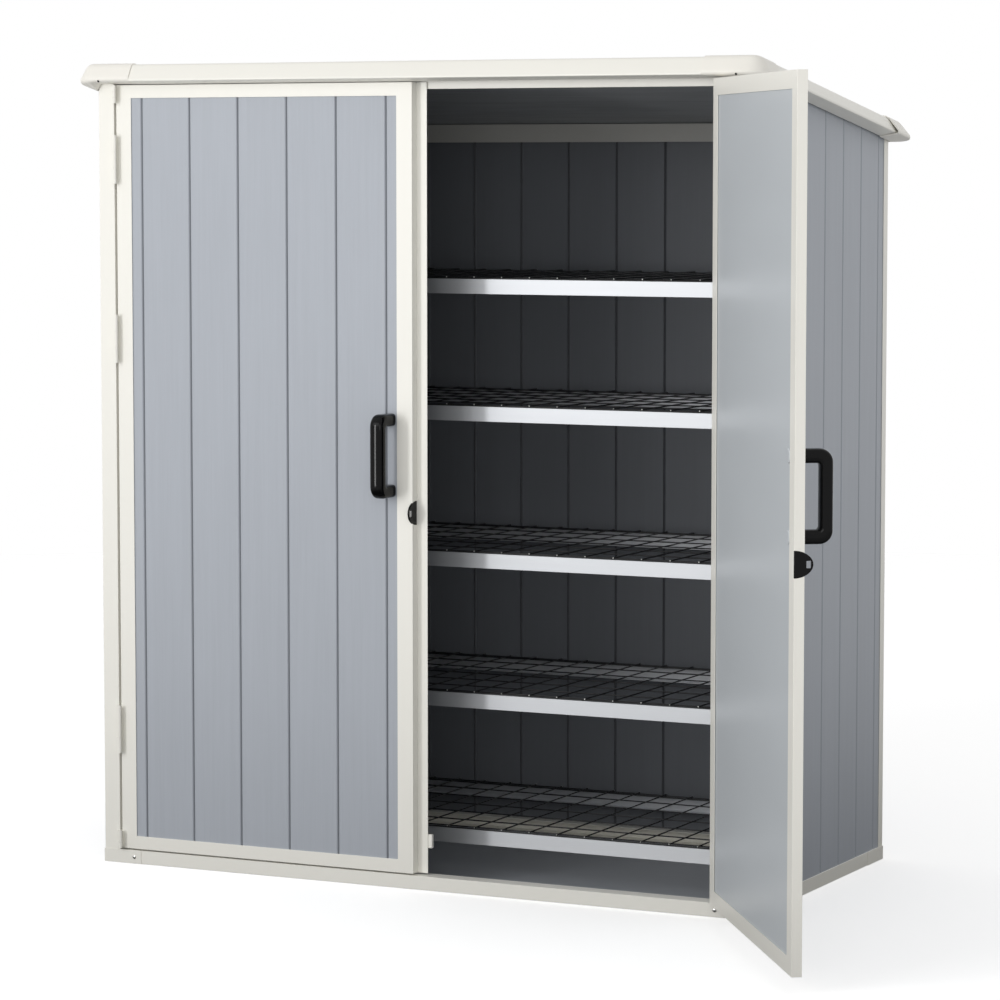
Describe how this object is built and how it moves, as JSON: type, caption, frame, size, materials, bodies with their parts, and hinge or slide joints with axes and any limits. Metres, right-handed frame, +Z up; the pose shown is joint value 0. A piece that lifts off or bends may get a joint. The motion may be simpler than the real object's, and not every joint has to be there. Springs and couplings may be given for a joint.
{
  "type": "garden storage cabinet",
  "caption": "Free-standing metal garden storage cabinet with a pent roof, hinged board-faced doors with bow handles and padlock ears, and wire shelves on a bolted frame.",
  "frame": {"origin": "middle of the cabinet's footprint, on the ground plane, at the underside of the floor sheet", "axes": "+X to the right across the front, +Y to the back wall, +Z up; the doors face -Y"},
  "size_m": [2.0104, 1.4787, 1.794],
  "materials": {
    "cream_paint": "satin cream powder coat",
    "hinge_paint": "satin cream paint over steel",
    "board_paint": "blue-grey wood-grain emboss, satin",
    "inner_sheet": "plain grey, semi-gloss",
    "rear_rail_paint": "plain grey, satin",
    "floor_sheet": "blue-grey, satin",
    "silver_steel": "bright zinc, brushed",
    "black_wire": "black, satin",
    "black_plastic": "black, gloss",
    "cap_plastic": "cream, matte",
    "screw_steel": "zinc plated"
  },
  "bodies": {
    "cabinet": {"back_wall_panel": "board_paint", "base_back_rail": "cream_paint", "base_corner_back_left": "cream_paint", "base_corner_back_right": "cream_paint", "base_corner_front_left": "cream_paint", "base_corner_front_right": "cream_paint", "base_front_rail": "cream_paint", "base_left_rail": "cream_paint", "base_right_rail": "cream_paint", "floor_panel": "floor_sheet", "frame_screws": "screw_steel", "header_rail": "cream_paint", "hinge_frame_leaves": "hinge_paint", "hinge_pins": "hinge_paint", "left_wall_panel": "board_paint", "post_back_left": "cream_paint", "post_back_right": "cream_paint", "post_front_left": "cream_paint", "post_front_right": "cream_paint", "rear_top_rail": "rear_rail_paint", "right_wall_panel": "board_paint", "roof_cap_back_left": "cap_plastic", "roof_cap_back_right": "cap_plastic", "roof_cap_front_left": "cap_plastic", "roof_cap_front_right": "cap_plastic", "roof_panel": "board_paint", "roof_trim_back": "cream_paint", "roof_trim_front": "cream_paint", "roof_trim_left": "cream_paint", "roof_trim_right": "cream_paint", "shelf_1_deck": "black_wire", "shelf_1_front_beam": "silver_steel", "shelf_2_deck": "black_wire", "shelf_2_front_beam": "silver_steel", "shelf_3_deck": "black_wire", "shelf_3_front_beam": "silver_steel", "shelf_4_deck": "black_wire", "shelf_4_front_beam": "silver_steel", "shelf_5_deck": "black_wire", "shelf_5_front_beam": "silver_steel", "shelf_back_beams": "silver_steel", "shelf_upright_front_left": "silver_steel", "shelf_upright_front_right": "silver_steel", "shelf_uprights_back": "silver_steel"},
    "left_door": {"left_door_astragal": "cream_paint", "left_door_catch": "cream_paint", "left_door_frame": "cream_paint", "left_door_handle": "black_plastic", "left_door_handle_bolts": "screw_steel", "left_door_inner_panel": "inner_sheet", "left_door_latch_ear": "black_plastic", "left_door_outer_panel": "board_paint", "left_hinge_door_leaves": "hinge_paint"},
    "right_door": {"right_door_frame": "cream_paint", "right_door_handle": "black_plastic", "right_door_handle_bolts": "screw_steel", "right_door_inner_panel": "inner_sheet", "right_door_latch_ear": "black_plastic", "right_door_outer_panel": "board_paint", "right_hinge_door_leaves": "hinge_paint"}
  },
  "joints": [
    {"name": "left_door_hinge", "type": "hinge", "parent": "cabinet", "child": "left_door", "pos_m": [-0.737, -0.4105, 0.9], "axis": [0, 0, -1], "range_deg": [0, 150]},
    {"name": "right_door_hinge", "type": "hinge", "parent": "cabinet", "child": "right_door", "pos_m": [0.737, -0.4105, 0.9], "axis": [0, 0, 1], "range_deg": [-125, 25]}
  ]
}
